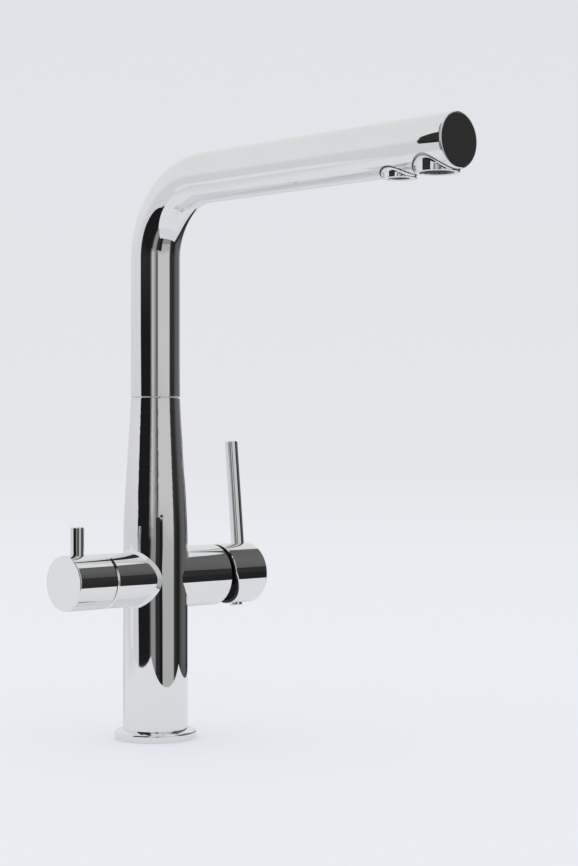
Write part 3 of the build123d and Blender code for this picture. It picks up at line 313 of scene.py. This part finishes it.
def make_floor_finish():
    """Pale matt floor, a little darker far away."""
    material = bpy.data.materials.new("floor")
    tree, shader = tree_of(material)
    where = tree.nodes.new("ShaderNodeTexCoord")
    length = tree.nodes.new("ShaderNodeVectorMath")
    length.operation = "LENGTH"
    tree.links.new(where.outputs["Object"], length.inputs[0])
    distance = calc(tree, "MULTIPLY", length.outputs["Value"], 1 / FLOOR_REACH)
    matt_surface(tree, shader, ramp(tree, distance, FLOOR, FLOOR_REACH))
    return material


def make_table_finish():
    """Pale matt table top whose brightness is stored at its corners."""
    material = bpy.data.materials.new("table_top")
    tree, shader = tree_of(material)
    level = tree.nodes.new("ShaderNodeAttribute")
    level.attribute_name = "level"
    matt_surface(tree, shader, level.outputs["Color"])
    return material


def make_card_finish():
    """Card whose brightness is stored at its corners."""
    material = bpy.data.materials.new("cards")
    material.use_nodes = True
    tree = material.node_tree
    tree.nodes.clear()
    level = tree.nodes.new("ShaderNodeAttribute")
    level.attribute_name = "level"
    glow = tree.nodes.new("ShaderNodeEmission")
    out = tree.nodes.new("ShaderNodeOutputMaterial")
    tree.links.new(level.outputs["Color"], glow.inputs["Color"])
    tree.links.new(glow.outputs[0], out.inputs["Surface"])
    return material


def stage_mesh(name, verts, faces, material):
    mesh = bpy.data.meshes.new(name)
    mesh.from_pydata(verts, [], faces)
    mesh.materials.append(material)
    obj = bpy.data.objects.new(name, mesh)
    scene.collection.objects.link(obj)
    return obj


def only_in_metal(obj):
    """Reflected in the metal, and nowhere else."""
    obj.visible_camera = False
    obj.visible_diffuse = False
    obj.visible_shadow = False
    obj.visible_transmission = False


def lit_grid(name, rows, levels, material, tint=(1, 1, 1)):
    """A card through rows of points, each point with its own brightness."""
    width = len(rows[0])
    verts = [point for row in rows for point in row]
    faces = [(width * r + c, width * r + c + 1, width * (r + 1) + c + 1, width * (r + 1) + c)
             for r in range(len(rows) - 1) for c in range(width - 1)]
    obj = stage_mesh(name, verts, faces, material)
    colours = obj.data.color_attributes.new("level", "FLOAT_COLOR", "POINT")
    for i, shade in enumerate(s for row in levels for s in row):
        colours.data[i].color = (*(shade * t for t in tint), 1)
    only_in_metal(obj)


CARD_STEP = 3.0  # degrees between a card's corners


def card(name, radius, angles, rows):
    """A curved card round the tap. Angles are degrees from the camera, clockwise seen from above;
    a row is an elevation and the brightness there at each of the angles."""
    turns = []
    for i, (a, b) in enumerate(zip(angles, angles[1:])):
        steps = max(1, round((b - a) / CARD_STEP))
        turns += [(i, k / steps) for k in range(steps)]
    turns.append((len(angles) - 2, 1.0))
    points, levels = [], []
    for elevation, stops in rows:
        height = EYE_Z + radius * math.tan(math.radians(elevation))
        row, shades = [], []
        for i, t in turns:
            turn = math.radians(angles[i] + (angles[i + 1] - angles[i]) * t)
            way = TO_CAMERA * math.cos(turn) + TO_RIGHT * math.sin(turn)
            row.append(way * radius + Vector((0, 0, height)))
            shades.append(stops[i] + (stops[i + 1] - stops[i]) * t)
        points.append(row)
        levels.append(shades)
    lit_grid(name, points, levels, card_finish)


make_world()
table_finish = make_table_finish()
card_finish = make_card_finish()

floor = stage_mesh("floor", [(x * FLOOR_HALF, y * FLOOR_HALF, FLOOR_Z)
                             for x, y in ((-1, -1), (1, -1), (1, 1), (-1, 1))],
                   [(0, 1, 2, 3)], make_floor_finish())
floor.visible_glossy = False

# Every surface that only the metal sees has one of these plain brightnesses at its corners.
BLACK = 0.012
DARK = 0.03
DIM = 0.12
GREY = 0.28
LIGHT = 0.45
BRIGHT = 0.6
FAR = 0.7
PALE = 0.8

# The table that the metal reflects, and the lower tops beside it, in metres.
TABLE_TINT = (0.985, 1.0, 1.035)
TABLE_LEFT = -0.40
TABLE_RIGHT = 0.31
TABLE_NEAR = -0.275
LOWER_Z = -0.3
LOWER_LEFT = -0.70
LOWER_RIGHT = 1.3


def table(name, z, across, rows):
    """A table top in the metal: places along X, then for each Y the brightness at those places."""
    lit_grid(name, [[(x, y, z) for x in across] for y, _ in rows], [levels for _, levels in rows],
             table_finish, TABLE_TINT)


# The table is darker behind the tap, where the tap's soft shadow lies.
table("table", 0.0, (TABLE_LEFT, -0.02, 0.04, 0.12, TABLE_RIGHT),
      [(TABLE_NEAR, (PALE, PALE, PALE, PALE, PALE)),
       (0.02, (PALE, PALE, PALE, PALE, PALE)),
       (0.12, (PALE, PALE, BRIGHT, BRIGHT, PALE)),
       (0.3, (FAR, PALE, BRIGHT, BRIGHT, FAR)),
       (3.0, (FAR, FAR, FAR, FAR, FAR))])
table("lower_table", LOWER_Z, (LOWER_LEFT, LOWER_RIGHT),
      [(-1.08, (PALE, PALE)), (TABLE_NEAR, (PALE, PALE))])
table("side_table", LOWER_Z, (TABLE_RIGHT, LOWER_RIGHT),
      [(TABLE_NEAR, (PALE, PALE)), (1.2, (PALE, PALE))])

# Pale screen past the table's far left corner, low down.
SCREEN_X = -0.5
lit_grid("pale_screen", [[(SCREEN_X, y, z) for y in (0.36, 0.62)] for z in (-0.10, 0.085)],
         [(PALE, PALE), (PALE, PALE)], card_finish, TABLE_TINT)

# The dark board beyond the table's left edge: height, where it ends along Y, and its brightness.
BOARD_X = -0.545
BOARD_NEAR = -0.27
BOARD = [(LOWER_Z, 0.110, BLACK), (0.0, 0.110, BLACK), (0.1, 0.150, BLACK), (0.28, 0.232, BLACK),
         (0.36, 0.232, DARK), (0.45, 0.240, DARK), (0.63, 0.278, DARK), (1.3, 0.30, DARK)]
lit_grid("board", [[(BOARD_X, y, z) for y in (BOARD_NEAR, far)] for z, far, _ in BOARD],
         [(level, level) for *_, level in BOARD], card_finish)

# The room's windows and walls, and one dark card nearer the tap: metres from the tap.
ROOM = 2.4
WINDOW = 2.5
NEAR_CARD = 1.25

card("window_left", ROOM, (-20, -14, -9, 3, 10),
     [(-60, (BLACK, DARK, GREY, GREY, BLACK)),
      (-3, (BLACK, DARK, GREY, GREY, BLACK)),
      (3, (DARK, GREY, BRIGHT, GREY, DIM)),
      (45, (DARK, GREY, BRIGHT, BRIGHT, DIM))])
card("window", WINDOW, (9, 12.5, 17, 74),
     [(-60, (DIM, DIM, DIM, DIM)),
      (-32, (GREY, GREY, GREY, GREY)),
      (-17.3, (GREY, GREY, GREY, GREY)),
      (-15, (LIGHT, LIGHT, LIGHT, LIGHT)),
      (-6, (LIGHT, LIGHT, LIGHT, LIGHT)),
      (-0.5, (GREY, GREY, LIGHT, BRIGHT)),
      (4, (DIM, DARK, BRIGHT, BRIGHT)),
      (25, (DIM, DARK, BRIGHT, BRIGHT)),
      (47, (BRIGHT, BRIGHT, BRIGHT, BRIGHT))])
card("dark_card", NEAR_CARD, (5.5, 16, 22, 30),
     [(-60, (DARK, DARK, BLACK, BLACK)), (0.6, (DARK, DARK, BLACK, BLACK))])
card("right_wall", ROOM, (72, 78, 95, 115, 132, 150, 160, 170),
     [(-60, (DARK, DARK, BLACK, DARK, DARK, DARK, DARK, DARK)),
      (-14, (DARK, DARK, BLACK, DARK, DARK, DARK, DARK, DARK)),
      (-9, (DIM, DARK, BLACK, DIM, DIM, DARK, DARK, DARK)),
      (-1, (DIM, DARK, BLACK, DIM, DIM, DARK, DARK, DARK)),
      (4, (DIM, DARK, DARK, DIM, DIM, GREY, BRIGHT, BRIGHT)),
      (15, (DIM, DARK, DARK, DIM, DIM, GREY, BRIGHT, BRIGHT))])
card("right_wall_high", ROOM, (72, 92, 150),
     [(15, (DARK, DIM, GREY)), (22, (DARK, DIM, GREY)), (46, (DIM, DIM, DIM))])
